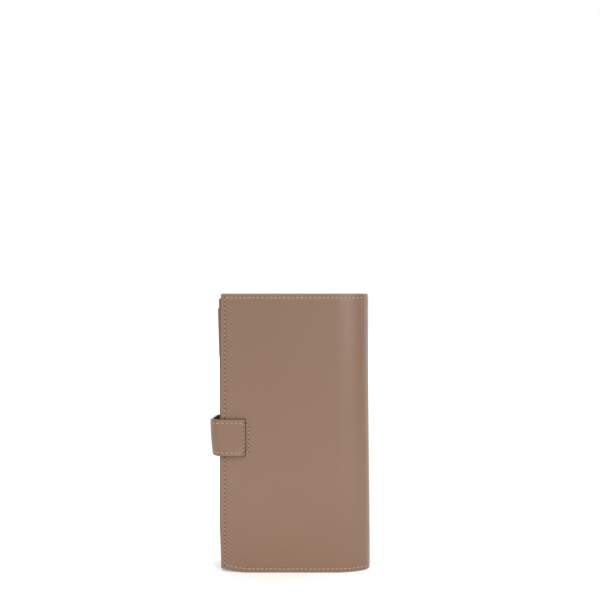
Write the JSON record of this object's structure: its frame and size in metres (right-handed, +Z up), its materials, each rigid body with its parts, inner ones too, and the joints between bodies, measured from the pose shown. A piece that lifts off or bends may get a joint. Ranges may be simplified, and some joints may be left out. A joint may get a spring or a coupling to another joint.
{
  "type": "long wallet",
  "caption": "Tall bifold leather wallet with a rounded spine, stepped card pockets, a zipped coin pocket and a snap tab over its open edge.",
  "frame": {"origin": "on the surface that the wallet stands on, under the middle of its whole box", "axes": "+X from the open edge to the spine, +Y from the back cover to the front cover, +Z up along the long side"},
  "size_m": [0.1084, 0.0324, 0.19],
  "materials": {
    "cover_leather": "matte",
    "pocket_leather": "matte",
    "lining": "suede",
    "board": "matte",
    "thread": "satin",
    "zip_tape": "matte",
    "brass": "polished",
    "spring_steel": "satin"
  },
  "bodies": {
    "back_half": {"back_cover": "cover_leather", "back_board": "board", "back_lining": "lining", "back_thread": "thread", "coin_back_wall": "pocket_leather", "coin_front_wall": "pocket_leather", "coin_gusset": "lining", "zip_tape_back": "zip_tape", "zip_tape_front": "zip_tape", "zip_teeth_back": "brass", "zip_teeth_front": "brass", "zip_bottom_stop": "brass", "zip_top_stop": "brass", "tab_root": "cover_leather", "tab_root_lining": "lining", "tab_root_thread": "thread"},
    "spine": {"spine_leather": "cover_leather", "spine_lining": "lining"},
    "front_half": {"front_cover": "cover_leather", "front_board": "board", "front_lining": "lining", "front_thread": "thread", "slip_pocket": "pocket_leather", "card_pocket_1": "pocket_leather", "card_pocket_2": "pocket_leather", "card_pocket_3": "pocket_leather", "card_pocket_4": "pocket_leather", "card_pocket_5": "pocket_leather", "card_pocket_6": "pocket_leather", "snap_stud": "brass", "snap_post": "brass"},
    "tab_side": {"tab_side": "cover_leather", "tab_side_lining": "lining"},
    "tab_tip": {"tab_tip": "cover_leather", "tab_tip_lining": "lining", "tab_tip_thread": "thread", "snap_cap": "brass", "snap_socket": "brass", "snap_spring": "spring_steel"},
    "zip_slider": {"zip_slider": "brass"},
    "zip_puller": {"zip_puller": "brass"}
  },
  "joints": [
    {"name": "spine_fold_back", "type": "hinge", "parent": "back_half", "child": "spine", "pos_m": [0.05081, -0.01056, 0.095], "axis": [0, 0, -1], "range_deg": [0, 90]},
    {"name": "spine_fold_front", "type": "hinge", "parent": "spine", "child": "front_half", "pos_m": [0.05081, 0.00656, 0.095], "axis": [0, 0, -1], "range_deg": [0, 90]},
    {"name": "tab_bend_back", "type": "hinge", "parent": "back_half", "child": "tab_side", "pos_m": [-0.05242, -0.01417, 0.092], "axis": [0, 0, 1], "range_deg": [0, 90]},
    {"name": "tab_bend_front", "type": "hinge", "parent": "tab_side", "child": "tab_tip", "pos_m": [-0.05242, 0.01277, 0.092], "axis": [0, 0, 1], "range_deg": [0, 90]},
    {"name": "zip_slide", "type": "slide", "parent": "back_half", "child": "zip_slider", "axis": [0, 0, 1], "range_m": [0, 0.1445]},
    {"name": "puller_swing", "type": "hinge", "parent": "zip_slider", "child": "zip_puller", "pos_m": [0.0334, -0.0068, 0.02225], "axis": [0, -1, 0], "range_deg": [0, 180]}
  ],
  "couplings": [
    {"joint": "spine_fold_front", "follows": "spine_fold_back", "ratio": 1}
  ]
}
